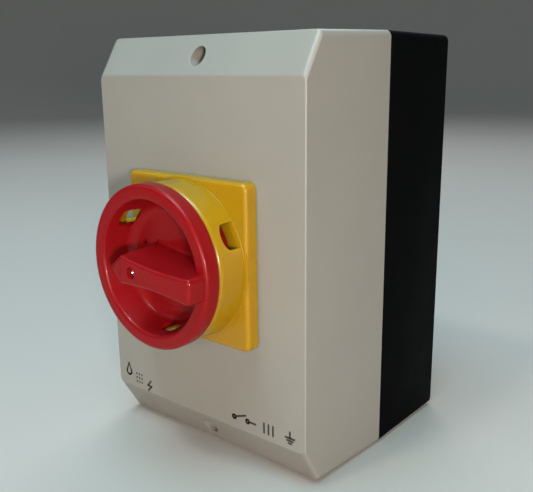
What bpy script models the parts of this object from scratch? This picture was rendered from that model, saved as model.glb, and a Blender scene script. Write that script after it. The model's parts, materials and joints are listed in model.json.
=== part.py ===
"""Enclosed three-pole rotary isolator switch with a padlockable red and yellow handle.

The switch is drawn lying on its back: x to the right, y up the wall, z straight out of the wall,
with the origin in the middle of the rear face. One empty then stands it up, so that in the
finished model +Z is up, the wall is at y = 0 and the handle faces -Y.

Bodies: the base box with the contact stack, the rotor (square shaft, contact bridges, detent
wheel), the cover with the handle's escutcheon, and the knob with its drive sleeve. The knob and the
rotor turn about the z axis of this drawing, and the cover lifts straight off along it.
"""

import math

import bmesh
import bpy
from mathutils import Matrix, Vector

NAME = "rotary_isolator_switch"
GAP = 0.0003            # between pieces that touch
SMOOTH_ANGLE = math.radians(35)

# Enclosure. Half sizes are (x, y).
SEAM = 0.047            # where the cover meets the base
FRONT = 0.099           # the cover's flat face
CHAMFER_START = 0.090   # where the sloping faces above and below the flat one begin
BACK_HALF = (0.05515, 0.08505)
SEAM_HALF = (0.0559, 0.0858)
SHOULDER_HALF = (0.0551, 0.0850)
FACE_HALF = (0.0550, 0.0700)
BOX_CORNER = 0.0026
BOX_EDGE = 0.0005
BASE_WALL = 0.003
COVER_WALL = 0.0028
TONGUE = 0.003          # height of the base's rim inside the cover
TONGUE_OUT = 0.0017     # from the outer face to the tongue
GROOVE = 0.0014         # thickness of the cover's wall outside the tongue
SCREW_Y = 0.077         # cover screws, above and below the middle
SCREW_BORE = 0.0036
BOSS = 0.0058
SCREW_SEAT = 0.0585
THREAD_HOLE = 0.0023
WALL_HOLES = (0.042, 0.066)
WALL_HOLE = 0.0027
KNOCKOUT = 0.016        # radius of the ring that marks a cable entry
KNOCKOUT_X = 0.025
KNOCKOUT_Z = 0.0235
CLEAR = 0.010           # how far a cutter runs on past the face that it opens

# Contact stack
STACK_HALF = (0.030, 0.031)
STACK_CORNER = 0.002
FOOT = (0.0053, 0.0103)
LUG = (0.020, 0.0370)   # the foot's two screws, on a diagonal
LUG_TOP = 0.0083
BEARING = 0.0061        # bore that the square shaft turns in
POLE_START = 0.0106
POLE_PITCH = 0.015
POLE_HEIGHT = 0.0147
POLE_FLOOR = 0.0018
CHAMBER = 0.020
HUB = 0.0075
DISC = (0.019, 0.0021, 0.0080)  # a rotor disc's radius, underside and top, above its pole's floor
ROTOR_TOP = 0.0138
BRIDGE = (0.0185, 0.0045, 0.011)        # a contact bridge's reach, half width and middle ring
BRIDGE_ENDS = (0.0083, 0.0107)
TIE_X = 0.0255
TIE_HOLE = 0.0021
STRIP = (0.0110, 0.0126)        # a contact strip's underside and top, above its pole's floor
STRIP_HALF = 0.006
STRIP_INNER = 0.0155            # where a contact strip ends under the bridge
TAB = (0.0313, 0.0329)          # a terminal tab's inner and outer face, along y
TAB_FOOT = 0.003
TERMINAL_SCREW_Z = 0.0065
MECHANISM = (0.0556, 0.0676)
LID = 0.0025                    # thickness of the mechanism's cover
WHEEL = 0.013
WHEEL_CHAMBER = 0.0165
WHEEL_NOTCH = 0.0022
PLUNGER_HALF = 0.0038
PLUNGER_BACK = 0.020
SPRING = (0.0206, 0.0279)
SHAFT = 0.008                   # across the flats
SHAFT_ENDS = (0.0085, 0.090)
LINK_X = 0.0435                 # earth and neutral terminals
LINK_Y = -0.050

# Handle
PLATE_HALF = 0.0325
PLATE = (0.0994, 0.105)
PLATE_CORNER = 0.003
PLATE_FLOOR = 0.103
RING = (0.0288, 0.0312)
RING_TOP = 0.1182
WINDOW_ANGLES = (26, 146, 266)
WINDOW_HALF = 0.00515
WINDOW_SPRING = 0.1105          # where a window's straight sides end and its arch begins
WINDOW_TOP = 0.1138
SLEEVE = 0.008
SLEEVE_ENDS = (0.078, 0.106)
SPIGOT = 0.0117
SPIGOT_END = 0.0945
SEAL_BORE = 0.0102
GASKET = (0.0125, 0.0210)       # the gasket's inner and outer radius
HANDLE_SCREW = 0.0255
HANDLE_HOLE = 0.0019
CLIP_X = 0.0123                 # small clip notches in the plate's upper and lower edges
CLIP_NOTCH = (0.0012, 0.0010)
KNOB = 0.0319
KNOB_BACK = 0.1186              # underside of the rim
KNOB_CROWN = 0.1253
KNOB_FLOOR = 0.1130             # bottom of the dish
KNOB_WALL = 0.0020
KNOB_HUB = (0.0110, 0.1036)     # radius and end of the hub behind the dish
KNOB_SKIRT = (0.0236, 0.0256, 0.1054)   # inner and outer radius, and end, of the wall round the hub
PIN_HOLE = (0.0012, 0.0160, 157)        # radius, distance from the axis, and angle
SLEEVE_SQUARE = 0.0056          # half of the square end that turns the sleeve
KNOB_TURN = -4                  # degrees; the knob rests a little past its nine o'clock mark
BAR_FACE = 0.133
BAR_END = 0.0309
BAR_FOOT_REACH = 0.0240         # how far the bar reaches inside the dish
KNOB_SCREW_HOLE = 0.0018
COUNTERBORE = (0.0030, 0.1292)
SLOT_ANGLES = (30, 134.5, 285)
SLOT_HALF = (0.0062, 0.0032)
SLOT_TOP = 0.1215

FINISHES = {
    "grey_plastic": ((0.56, 0.55, 0.51), 0.42, 0.0),
    "black_plastic": ((0.012, 0.012, 0.013), 0.38, 0.0),
    "red_plastic": ((0.43, 0.012, 0.018), 0.32, 0.0),
    "yellow_plastic": ((0.72, 0.44, 0.02), 0.33, 0.0),
    "housing_plastic": ((0.70, 0.68, 0.62), 0.50, 0.0),
    "rotor_plastic": ((0.16, 0.17, 0.18), 0.45, 0.0),
    "rubber": ((0.03, 0.03, 0.03), 0.80, 0.0),
    "steel": ((0.62, 0.63, 0.65), 0.30, 1.0),
    "brass": ((0.72, 0.52, 0.22), 0.28, 1.0),
    "copper": ((0.75, 0.40, 0.27), 0.30, 1.0),
}


# ---------------------------------------------------------------- scene and materials

def clear_scene():
    for item in list(bpy.data.objects):
        bpy.data.objects.remove(item, do_unlink=True)


def new_collection(name):
    made = bpy.data.collections.new(name)
    bpy.context.scene.collection.children.link(made)
    return made


def new_empty(name, location=(0, 0, 0), parent=None):
    made = bpy.data.objects.new(name, None)
    made.location = location
    made.parent = parent
    parts.objects.link(made)
    return made


def new_material(name, finish):
    colour, roughness, metallic = FINISHES[finish]
    made = bpy.data.materials.new(name)
    made.use_nodes = True
    shader = made.node_tree.nodes["Principled BSDF"]
    shader.inputs["Base Color"].default_value = (*colour, 1.0)
    shader.inputs["Roughness"].default_value = roughness
    shader.inputs["Metallic"].default_value = metallic
    return made


def as_mesh(name, form):
    """Turn a bmesh into a mesh whose faces point out."""
    bmesh.ops.recalc_face_normals(form, faces=form.faces)
    mesh = bpy.data.meshes.new(name)
    form.to_mesh(mesh)
    form.free()
    mesh.shade_smooth()
    mesh.set_sharp_from_angle(angle=SMOOTH_ANGLE)
    return mesh


def add_part(name, form, finish, parent, location=(0, 0, 0), rotation=(0, 0, 0)):
    mesh = form if isinstance(form, bpy.types.Mesh) else as_mesh(name, form)
    made = bpy.data.objects.new(name, mesh)
    made.data.materials.append(new_material(name, finish))
    made.location = location
    made.rotation_euler = rotation
    made.parent = parent
    parts.objects.link(made)
    return made


def add_tool(name, form, parent, location=(0, 0, 0), rotation=(0, 0, 0)):
    """A shape that only cuts or joins other pieces."""
    made = bpy.data.objects.new(name, as_mesh(name, form))
    made.location = location
    made.rotation_euler = rotation
    made.parent = parent
    made.hide_render = True
    made.display_type = "WIRE"
    tools.objects.link(made)
    return made


def combine(piece, tool, operation):
    step = piece.modifiers.new(tool.name, "BOOLEAN")
    step.operation = operation
    step.solver = "EXACT"
    step.object = tool
    return step


def cut(piece, *cutters):
    for tool in cutters:
        combine(piece, tool, "DIFFERENCE")


def join(piece, *additions):
    for tool in additions:
        combine(piece, tool, "UNION")


# ---------------------------------------------------------------- shapes

def block(low, high, half_low, half_high=None, centre=(0, 0), corner=0.0, edge=0.0, segments=3):
    """Box between two heights, with rounded upright corners and small rounds on its end edges."""
    half_high = half_high or half_low
    form = bmesh.new()
    bmesh.ops.create_cube(form, size=2.0)
    for vert in form.verts:
        half, height = (half_high, high) if vert.co.z > 0 else (half_low, low)
        vert.co = Vector((centre[0] + vert.co.x * half[0], centre[1] + vert.co.y * half[1], height))
    if corner:
        upright = [item for item in form.edges
                   if abs(item.verts[0].co.z - item.verts[1].co.z) > (high - low) / 2]
        bmesh.ops.bevel(form, geom=upright, offset=corner, segments=segments, profile=0.5,
                        affect="EDGES")
    if edge:
        round_ends(form, edge)
    return form


def round_ends(form, width):
    """Round the edges around every face that lies square to z."""
    ends = {item for face in form.faces if abs(face.normal.z) > 0.99 for item in face.edges}
    bmesh.ops.bevel(form, geom=list(ends), offset=width, segments=2, profile=0.5, affect="EDGES")


def rod(low, high, radius, centre=(0, 0), sides=32):
    form = bmesh.new()
    bmesh.ops.create_cone(form, cap_ends=True, segments=sides, radius1=radius, radius2=radius,
                          depth=high - low)
    bmesh.ops.translate(form, verts=form.verts, vec=(*centre, (low + high) / 2))
    return form


def along_y(form):
    """Lay a shape drawn along z down, so that it runs along +y."""
    bmesh.ops.rotate(form, verts=form.verts, matrix=Matrix.Rotation(-math.pi / 2, 3, "X"))
    return form


def arc(radius, start, end, count, centre=(0, 0)):
    """Points on a circle, from one angle to another in degrees, both ends included."""
    angles = [math.radians(start + (end - start) * step / count) for step in range(count + 1)]
    return [(centre[0] + radius * math.cos(a), centre[1] + radius * math.sin(a)) for a in angles]


def extruded(low, high, *outlines):
    """Flat outlines, the inner ones being holes, given thickness between two heights."""
    curve = bpy.data.curves.new("outline", "CURVE")
    curve.dimensions = "2D"
    curve.fill_mode = "BOTH"
    curve.extrude = (high - low) / 2
    for outline in outlines:
        spline = curve.splines.new("POLY")
        spline.points.add(len(outline) - 1)
        for point, (x, y) in zip(spline.points, outline):
            point.co = (x, y, 0, 1)
        spline.use_cyclic_u = True
    guide = bpy.data.objects.new("outline", curve)
    tools.objects.link(guide)
    evaluated = guide.evaluated_get(bpy.context.evaluated_depsgraph_get())
    mesh = bpy.data.meshes.new_from_object(evaluated)
    form = bmesh.new()
    form.from_mesh(mesh)
    bmesh.ops.remove_doubles(form, verts=form.verts, dist=0.000001)
    bmesh.ops.translate(form, verts=form.verts, vec=(0, 0, (low + high) / 2))
    bpy.data.objects.remove(guide, do_unlink=True)
    bpy.data.meshes.remove(mesh)
    return form


def rectangle(half, centre=(0, 0)):
    return [(centre[0] + sx * half[0], centre[1] + sy * half[1])
            for sx, sy in ((-1, -1), (1, -1), (1, 1), (-1, 1))]


def turned(name, profile, finish, parent, closed=False, steps=32, **place):
    """Solid of revolution about z. The profile's (radius, z) points run down the outer side."""
    form = bmesh.new()
    verts = [form.verts.new((radius, 0, z)) for radius, z in profile]
    pairs = list(zip(verts, verts[1:]))
    if closed:
        pairs.append((verts[-1], verts[0]))
    for pair in pairs:
        form.edges.new(pair)
    mesh = bpy.data.meshes.new(name)
    form.to_mesh(mesh)
    form.free()
    made = add_part(name, mesh, finish, parent, **place)
    spin = made.modifiers.new("Screw", "SCREW")
    spin.axis = "Z"
    spin.steps = steps
    spin.render_steps = steps
    spin.use_merge_vertices = True
    spin.merge_threshold = 0.00001
    spin.use_smooth_shade = True
    return made


def tube(name, inner, outer, low, high, finish, parent, steps=32, **place):
    profile = [(inner, high), (outer, high), (outer, low), (inner, low)]
    return turned(name, profile, finish, parent, closed=True, steps=steps, **place)


def screw(name, head, head_height, shank, length, parent, location, rotation=(0, 0, 0),
          slotted=True, flange=0.0, steps=12):
    """Pan-head screw. Its origin is under the head, and the head points along its own +z."""
    profile = [(0, head_height), (0.7 * head, 0.95 * head_height), (head, 0.5 * head_height),
               (head, 0)]
    if flange:
        profile[-1:] = [(head, 0.0010), (flange, 0.0010), (flange, 0)]
    profile += [(shank, 0), (shank, -length + 0.6 * shank), (0.5 * shank, -length), (0, -length)]
    made = turned(name, profile, "steel", parent, steps=steps, location=location,
                  rotation=rotation)
    low, high = 0.45 * head_height, head_height + 0.001
    if slotted:
        recess = block(low, high, (1.2 * head, 0.0005))
    else:
        recess = extruded(low, high, cross_outline(0.68 * head, 0.15 * head))
    cut(made, add_tool(name + "_recess", recess, parent, location, rotation))
    return made


def cross_outline(reach, half):
    """Four arms that narrow a little towards their ends."""
    arm = ((half, half), (0.8 * half, reach), (-0.8 * half, reach))
    outline = []
    for quarter in range(4):
        turn = Matrix.Rotation(quarter * math.pi / 2, 2)
        outline += [tuple(turn @ Vector(point)) for point in arm]
    return outline


# ---------------------------------------------------------------- enclosure

def base_box(parent):
    box = add_part("base_box", block(0, SEAM, BACK_HALF, SEAM_HALF, corner=BOX_CORNER,
                                     edge=BOX_EDGE), "black_plastic", parent)
    tongue = tuple(half - TONGUE_OUT for half in SEAM_HALF)
    inner = tuple(half - BASE_WALL for half in SEAM_HALF)
    inner_back = tuple(half - BASE_WALL for half in BACK_HALF)
    join(box, add_tool("base_tongue", block(SEAM - 0.004, SEAM + TONGUE, tongue, corner=0.0012),
                       parent))
    cut(box, add_tool("base_hollow", block(BASE_WALL, SEAM + CLEAR, inner_back, inner,
                                           corner=0.0008), parent))
    for side, word in ((1, "top"), (-1, "bottom")):
        post = block(BASE_WALL / 2, SEAM - 2 * GAP, (0.0045, 0.0055), centre=(0, side * 0.0782))
        join(box, add_tool(word + "_post", post, parent))
        pilot = rod(0.024, 0.060, THREAD_HOLE, (0, side * SCREW_Y), 20)
        cut(box, add_tool(word + "_pilot", pilot, parent))
        for x in (-KNOCKOUT_X, KNOCKOUT_X):
            groove = knockout_groove(side)
            cut(box, add_tool("knockout_groove", groove, parent, (x, side * 0.0854, KNOCKOUT_Z)))
    for side in (-1, 1):
        x, y = -side * LUG[0], side * LUG[1]
        post = rod(BASE_WALL / 2, FOOT[0] - GAP, 0.0052, (x, y), 16)
        join(box, add_tool("lug_post", post, parent))
        cut(box, add_tool("lug_pilot", rod(0.001, 0.010, THREAD_HOLE, (x, y), 16), parent))
        cradle = block(BASE_WALL / 2, 0.0043, (0.0072, 0.0082), centre=(side * LINK_X, LINK_Y))
        join(box, add_tool("link_cradle", cradle, parent))
        pocket = block(BASE_WALL, 0.010, (0.0053, 0.0063), centre=(side * LINK_X, LINK_Y))
        cut(box, add_tool("link_pocket", pocket, parent))
        for y_side in (-1, 1):
            place = (side * WALL_HOLES[0], y_side * WALL_HOLES[1])
            cut(box, add_tool("wall_hole", rod(-0.002, 0.006, WALL_HOLE, place, 16), parent))
    return box


def knockout_groove(side):
    """Ring that marks a cable entry, sunk into the upper or lower wall."""
    ring = extruded(-0.0007, 0.003, arc(KNOCKOUT, 0, 340, 17), arc(KNOCKOUT - 0.0012, 0, 340, 17))
    along_y(ring)
    if side < 0:
        bmesh.ops.scale(ring, vec=(1, -1, 1), verts=ring.verts)
    return ring


def cover_form(wall, low):
    """The chamfered cap, or the surface that lies a wall's thickness inside it."""
    turn = math.atan2(SHOULDER_HALF[1] - FACE_HALF[1], FRONT - CHAMFER_START)
    shoulder_z = CHAMFER_START - wall * math.tan(turn / 2)
    face_y = FACE_HALF[1] - wall * math.tan((math.pi / 2 - turn) / 2)
    seam = tuple(half - wall for half in SEAM_HALF)
    shoulder = tuple(half - wall for half in SHOULDER_HALF)
    form = block(low, shoulder_z, seam, shoulder)
    top = max(form.faces, key=lambda face: face.calc_center_median().z)
    raised = bmesh.ops.extrude_face_region(form, geom=[top])["geom"]
    for vert in (item for item in raised if isinstance(item, bmesh.types.BMVert)):
        vert.co = Vector((math.copysign(FACE_HALF[0] - wall, vert.co.x),
                          math.copysign(face_y, vert.co.y), FRONT - wall))
    bmesh.ops.delete(form, geom=[top], context="FACES_ONLY")
    upright = [item for item in form.edges
               if abs(item.verts[0].co.z - item.verts[1].co.z) > 0.005]
    corner = max(BOX_CORNER - wall, 0.0008)
    bmesh.ops.bevel(form, geom=upright, offset=corner, segments=3, profile=0.5, affect="EDGES")
    return form


def cover(parent):
    shell = add_part("cover", cover_form(0, SEAM + GAP), "grey_plastic", parent)
    rounding = shell.modifiers.new("Bevel", "BEVEL")
    rounding.width = BOX_EDGE
    rounding.segments = 2
    rounding.limit_method = "ANGLE"
    rounding.angle_limit = math.radians(28)
    hollow = add_tool("cover_hollow", cover_form(COVER_WALL, SEAM - 0.004), parent)
    for side in (-1, 1):
        cut(hollow, add_tool("screw_boss", rod(0.030, FRONT + CLEAR, BOSS, (0, side * SCREW_Y)), parent))
    cut(shell, hollow)
    outer = tuple(half - GROOVE for half in SEAM_HALF)
    inner = tuple(half - 0.0039 for half in SEAM_HALF)
    groove = extruded(SEAM - 0.002, SEAM + 0.005, rectangle(outer), rectangle(inner))
    cut(shell, add_tool("cover_groove", groove, parent))
    for side in (-1, 1):
        at = (0, side * SCREW_Y)
        bore = rod(SCREW_SEAT, FRONT + CLEAR, SCREW_BORE, at, 32)
        cut(shell, add_tool("screw_bore", bore, parent),
            add_tool("screw_hole", rod(0.040, 0.062, THREAD_HOLE, at, 20), parent))
        for y_side in (-1, 1):
            at = (side * HANDLE_SCREW, y_side * HANDLE_SCREW)
            cut(shell, add_tool("handle_hole", rod(0.090, 0.105, HANDLE_HOLE, at, 16), parent))
    cut(shell, add_tool("handle_opening", rod(0.090, 0.105, SPIGOT + GAP, (0, 0), 30), parent))
    return shell


def cover_fittings(parent):
    outer = tuple(half - TONGUE_OUT for half in SEAM_HALF)
    inner = tuple(half - BASE_WALL + 0.00005 for half in SEAM_HALF)
    seal = extruded(SEAM + TONGUE + GAP, SEAM + 0.005 - GAP, rectangle(outer), rectangle(inner))
    add_part("cover_seal", seal, "rubber", parent)
    for side, word in ((1, "top"), (-1, "bottom")):
        y = side * SCREW_Y
        tube(word + "_screw_washer", THREAD_HOLE, 0.0033, SCREW_SEAT + GAP, SCREW_SEAT + 0.0012,
             "steel", parent, 24, location=(0, y, 0))
        screw(word + "_cover_screw", 0.0031, 0.0028, 0.0019, 0.034, parent,
              (0, y, SCREW_SEAT + 0.0015), slotted=False, steps=16)


# ---------------------------------------------------------------- contact stack

def mounting_foot(parent):
    foot = add_part("mounting_foot", block(*FOOT, STACK_HALF, corner=STACK_CORNER),
                    "housing_plastic", parent)
    cut(foot, add_tool("foot_bearing", rod(0.0075, FOOT[1] + CLEAR, BEARING, (0, 0), 24), parent))
    for side in (-1, 1):
        x, y = -side * LUG[0], side * LUG[1]
        lug = block(FOOT[0], LUG_TOP, (0.007, 0.011), centre=(x, y - side * 0.004), corner=0.003)
        join(foot, add_tool("foot_lug", lug, parent))
        tie_hole = rod(0.0062, FOOT[1] + CLEAR, TIE_HOLE, (side * TIE_X, 0), 12)
        cut(foot, add_tool("foot_lug_hole", rod(0.002, 0.012, THREAD_HOLE, (x, y), 12), parent),
            add_tool("foot_tie_hole", tie_hole, parent))
        screw("foot_screw_%d" % (1 if side > 0 else 2), 0.0034, 0.0022, 0.0019, 0.0070, parent,
              (x, y, LUG_TOP + GAP))


def pole(number, base, rotor):
    """One of the three contact decks: its housing, rotor, bridge, strips and terminal screws."""
    floor = POLE_START + POLE_PITCH * (number - 1)
    housing = add_part("pole_%d_housing" % number,
                       block(floor, floor + POLE_HEIGHT, STACK_HALF, corner=STACK_CORNER),
                       "housing_plastic", base)
    clear = floor + POLE_HEIGHT + CLEAR / 2
    chamber = rod(floor + POLE_FLOOR, clear, CHAMBER, (0, 0), 28)
    cut(housing, add_tool("chamber", chamber, base),
        add_tool("hub_hole", rod(floor - 0.001, floor + 0.004, HUB + GAP, (0, 0), 20), base))
    for side in (-1, 1):
        notch = block(floor + STRIP[0] - GAP, clear, (STRIP_HALF + GAP, 0.011),
                      centre=(0, side * 0.026))
        tie_hole = rod(floor - 0.001, clear, TIE_HOLE, (side * TIE_X, 0), 12)
        cut(housing, add_tool("strip_notch", notch, base), add_tool("tie_hole", tie_hole, base))
        bore = along_y(rod(0.0245, 0.035, THREAD_HOLE, (0, -floor - TERMINAL_SCREW_Z), 12))
        turn = (0, 0, 0 if side > 0 else math.pi)
        cut(housing, add_tool("terminal_bore", bore, base, rotation=turn))
        terminal("%s_%d" % ("line" if side > 0 else "load", number), floor, turn, base)
    disc, underside, top = DISC
    hub = [(0, ROTOR_TOP), (HUB, ROTOR_TOP), (HUB, top), (disc, top), (disc, underside),
           (HUB, underside), (HUB, GAP), (0, GAP)]
    turning = turned("pole_%d_rotor" % number, hub, "rotor_plastic", rotor, steps=24,
                     location=(0, 0, floor))
    cut(turning, square_hole(rotor))
    reach, half, ring = BRIDGE
    join_angle = math.degrees(math.asin(half / ring))
    outline = (arc(ring, join_angle, 180 - join_angle, 10) + [(-reach, half), (-reach, -half)]
               + arc(ring, 180 + join_angle, 360 - join_angle, 10) + [(reach, -half), (reach, half)])
    low, high = (floor + height for height in BRIDGE_ENDS)
    bridge = extruded(low, high, outline, arc(HUB + GAP, 0, 345, 23))
    add_part("contact_bridge_%d" % number, bridge, "copper", rotor)


def terminal(label, floor, turn, base):
    """A contact strip with its turned-down tab, and the screw that clamps the wire to the tab."""
    length = TAB[1] - STRIP_INNER
    strip = block(floor + STRIP[0], floor + STRIP[1], (STRIP_HALF, length / 2),
                  centre=(0, STRIP_INNER + length / 2))
    piece = add_part(label + "_terminal", strip, "copper", base, rotation=turn)
    tab = block(floor + TAB_FOOT, floor + STRIP[1] - 0.0004, (STRIP_HALF, (TAB[1] - TAB[0]) / 2),
                centre=(0, (TAB[0] + TAB[1]) / 2))
    hole = along_y(rod(0.030, 0.035, THREAD_HOLE, (0, -floor - TERMINAL_SCREW_Z), 12))
    join(piece, add_tool(label + "_tab", tab, base, rotation=turn))
    cut(piece, add_tool(label + "_hole", hole, base, rotation=turn))
    side = 1 if turn[2] == 0 else -1
    screw(label + "_screw", 0.0030, 0.0030, 0.0019, 0.0075, base,
          (0, side * (TAB[1] + GAP), floor + TERMINAL_SCREW_Z),
          (-side * math.pi / 2, 0, 0), flange=0.0042)


def square_hole(parent):
    half = SHAFT / 2 + GAP
    return add_tool("square_hole", block(0.0, 0.080, (half, half)), parent)


def detent(base, rotor):
    """Four-notch wheel on the shaft, held by two sprung plungers."""
    low, high = MECHANISM
    housing = add_part("mechanism_housing", block(low, high, STACK_HALF, corner=STACK_CORNER),
                       "housing_plastic", base)
    chamber = rod(low + 0.0015, high + CLEAR, WHEEL_CHAMBER, (0, 0), 32)
    slot = block(low + 0.0025, high + CLEAR, (PLUNGER_HALF + 0.0004, 0.0285))
    cut(housing, add_tool("wheel_chamber", chamber, base),
        add_tool("wheel_hub_hole", rod(low - 0.001, low + 0.003, HUB + GAP, (0, 0), 24), base),
        add_tool("plunger_slot", slot, base))
    half_angle = math.degrees(2 * math.asin(WHEEL_NOTCH / 2 / WHEEL))
    outline = []
    for quarter in range(4):
        middle = 90 * quarter
        outline += arc(WHEEL, middle + half_angle, middle + 90 - half_angle, 8)
        centre = arc(WHEEL, middle + 90, middle + 91, 1)[0]
        outline += arc(WHEEL_NOTCH, middle - 10, middle - 170, 6, centre)
    half = SHAFT / 2 + GAP
    wheel = extruded(low + 0.0020, high - 0.0020, outline, rectangle((half, half)))
    add_part("detent_wheel", wheel, "rotor_plastic", rotor)
    middle = (low + high) / 2
    for side, word in ((1, "upper"), (-1, "lower")):
        turn = (0, 0, 0 if side > 0 else math.pi)
        nose = WHEEL + GAP + PLUNGER_HALF
        outline = arc(PLUNGER_HALF, 180, 360, 10, (0, nose))
        outline += [(PLUNGER_HALF, PLUNGER_BACK), (-PLUNGER_HALF, PLUNGER_BACK)]
        piece = add_part(word + "_detent_plunger",
                         extruded(low + 0.0029, high - 0.0021, outline), "rotor_plastic", base,
                         rotation=turn)
        spigot = along_y(rod(0.019, 0.0235, 0.0016, (0, -middle), 12))
        join(piece, add_tool(word + "_spigot", spigot, base, rotation=turn))
        coil_spring(word + "_detent_spring", *SPRING, middle, side, base)
    for side in (-1, 1):
        tie_hole = rod(low - 0.001, high + CLEAR, TIE_HOLE, (side * TIE_X, 0), 12)
        cut(housing, add_tool("tie_hole", tie_hole, base))


def coil_spring(name, start, end, height, side, parent):
    """Compression spring along y, wound round its plunger's spigot."""
    turns, per_turn, radius, wire = 5, 9, 0.0027, 0.00035
    curve = bpy.data.curves.new(name, "CURVE")
    curve.dimensions = "3D"
    curve.bevel_depth = wire
    curve.bevel_resolution = 1
    curve.use_fill_caps = True
    spline = curve.splines.new("POLY")
    count = turns * per_turn
    spline.points.add(count)
    for step, point in enumerate(spline.points):
        angle = 2 * math.pi * step / per_turn
        y = start + wire + (end - start - 2 * wire) * step / count
        point.co = (radius * math.cos(angle), side * y, height + radius * math.sin(angle), 1)
    made = bpy.data.objects.new(name, curve)
    curve.materials.append(new_material(name, "steel"))
    made.parent = parent
    parts.objects.link(made)


def stack_closing(base, rotor):
    low = MECHANISM[1] + GAP
    lid = add_part("mechanism_cover", block(low, low + LID, STACK_HALF, corner=STACK_CORNER),
                   "housing_plastic", base)
    ends = (low - CLEAR / 2, low + CLEAR)
    cut(lid, add_tool("lid_bearing", rod(*ends, BEARING, (0, 0), 24), base))
    for side in (-1, 1):
        cut(lid, add_tool("tie_hole", rod(*ends, TIE_HOLE, (side * TIE_X, 0), 12), base))
        screw("tie_screw_%d" % (1 if side > 0 else 2), 0.0032, 0.0024, 0.0018, 0.0640, base,
              (side * TIE_X, 0, low + LID + GAP))
    half = SHAFT / 2
    add_part("shaft", block(*SHAFT_ENDS, (half, half), corner=0.0004, segments=1), "steel", rotor)


def link_terminals(parent):
    """Brass blocks for the earth and neutral wires, which pass the switch."""
    for side, word in ((-1, "earth"), (1, "neutral")):
        x = side * LINK_X
        body = block(BASE_WALL + GAP, 0.0123, (0.005, 0.006), centre=(x, LINK_Y), corner=0.0006,
                     segments=1)
        piece = add_part(word + "_terminal", body, "brass", parent)
        wire_hole = along_y(rod(-0.070, -0.030, 0.0026, (x, -0.0072), 16))
        cut(piece, add_tool(word + "_wire_hole", wire_hole, parent),
            add_tool(word + "_screw_hole", rod(0.0072, 0.020, THREAD_HOLE, (x, LINK_Y), 16), parent))
        screw(word + "_screw", 0.0034, 0.0024, 0.0019, 0.0026, parent, (x, LINK_Y, 0.0126))


# ---------------------------------------------------------------- handle

def escutcheon(parent):
    """Yellow plate with the ring that the padlock shackles pass through."""
    plate = add_part("escutcheon", block(*PLATE, (PLATE_HALF, PLATE_HALF), corner=PLATE_CORNER),
                     "yellow_plastic", parent)
    rounding = plate.modifiers.new("Bevel", "BEVEL")
    rounding.width = 0.0011
    rounding.segments = 2
    rounding.limit_method = "ANGLE"
    rounding.angle_limit = math.radians(50)
    join(plate, add_tool("ring", rod(0.101, RING_TOP, RING[1], (0, 0), 54), parent),
         add_tool("spigot", rod(SPIGOT_END, 0.1005, SPIGOT, (0, 0), 30), parent))
    hollow = rod(PLATE_FLOOR, RING_TOP + CLEAR, RING[0], (0, 0), 54)
    cut(plate, add_tool("ring_hollow", hollow, parent),
        add_tool("sleeve_bore", rod(0.090, 0.110, SLEEVE + 0.0004, (0, 0), 28), parent),
        add_tool("seal_bore", rod(0.090, 0.0985, SEAL_BORE, (0, 0), 28), parent))
    pocket = extruded(0.098, 0.1005, arc(GASKET[1] + 0.0004, 0, 348, 29),
                      arc(SPIGOT + 0.0004, 0, 348, 29))
    cut(plate, add_tool("gasket_pocket", pocket, parent))
    for angle in WINDOW_ANGLES:
        turn = (0, 0, math.radians(angle - 90))
        cut(plate, add_tool("window_%d" % angle, window_form(), parent, rotation=turn))
    for side in (-1, 1):
        for x in (-CLIP_X, CLIP_X):
            notch = block(0.098, 0.1003, CLIP_NOTCH, centre=(x, side * (PLATE_HALF + 0.0001)))
            cut(plate, add_tool("clip_notch", notch, parent))
        for y in (-HANDLE_SCREW, HANDLE_SCREW):
            pilot = rod(0.095, 0.1036, HANDLE_HOLE, (side * HANDLE_SCREW, y), 16)
            cut(plate, add_tool("plate_pilot", pilot, parent))


def window_form():
    """Arched opening, drawn across +y: straight sides up from the plate, then half an ellipse."""
    rise = WINDOW_TOP - WINDOW_SPRING
    arch = [(x, -WINDOW_SPRING - y * rise / WINDOW_HALF) for x, y in arc(WINDOW_HALF, 0, 180, 12)]
    sill = -PLATE[1]
    outline = arch + [(-WINDOW_HALF, sill), (WINDOW_HALF, sill)]
    return along_y(extruded(0.024, 0.036, outline))


def handle_fittings(parent):
    tube("handle_gasket", *GASKET, FRONT + GAP, 0.1002, "rubber", parent, 30)
    radius, middle = 0.0008, 0.0091
    ring = [(middle - x, 0.0962 + y) for x, y in arc(radius, 0, 300, 5)]
    turned("shaft_seal", ring, "rubber", parent, closed=True, steps=24)
    number = 0
    for x in (-HANDLE_SCREW, HANDLE_SCREW):
        for y in (-HANDLE_SCREW, HANDLE_SCREW):
            number += 1
            screw("handle_screw_%d" % number, 0.0030, 0.0022, 0.0015, 0.0070, parent,
                  (x, y, FRONT - COVER_WALL - GAP), (math.pi, 0, 0))


def drive_sleeve(parent):
    low, high = SLEEVE_ENDS
    sleeve = add_part("drive_sleeve", rod(low, 0.102, SLEEVE, (0, 0), 28), "rotor_plastic", parent)
    join(sleeve, add_tool("sleeve_square", block(0.100, high, (SLEEVE_SQUARE, SLEEVE_SQUARE)),
                          parent))
    half = SHAFT / 2 + GAP
    cut(sleeve, add_tool("sleeve_socket", block(0.070, 0.092, (half, half)), parent),
        add_tool("sleeve_thread", rod(0.090, 0.110, 0.0018, (0, 0), 16), parent))


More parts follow.
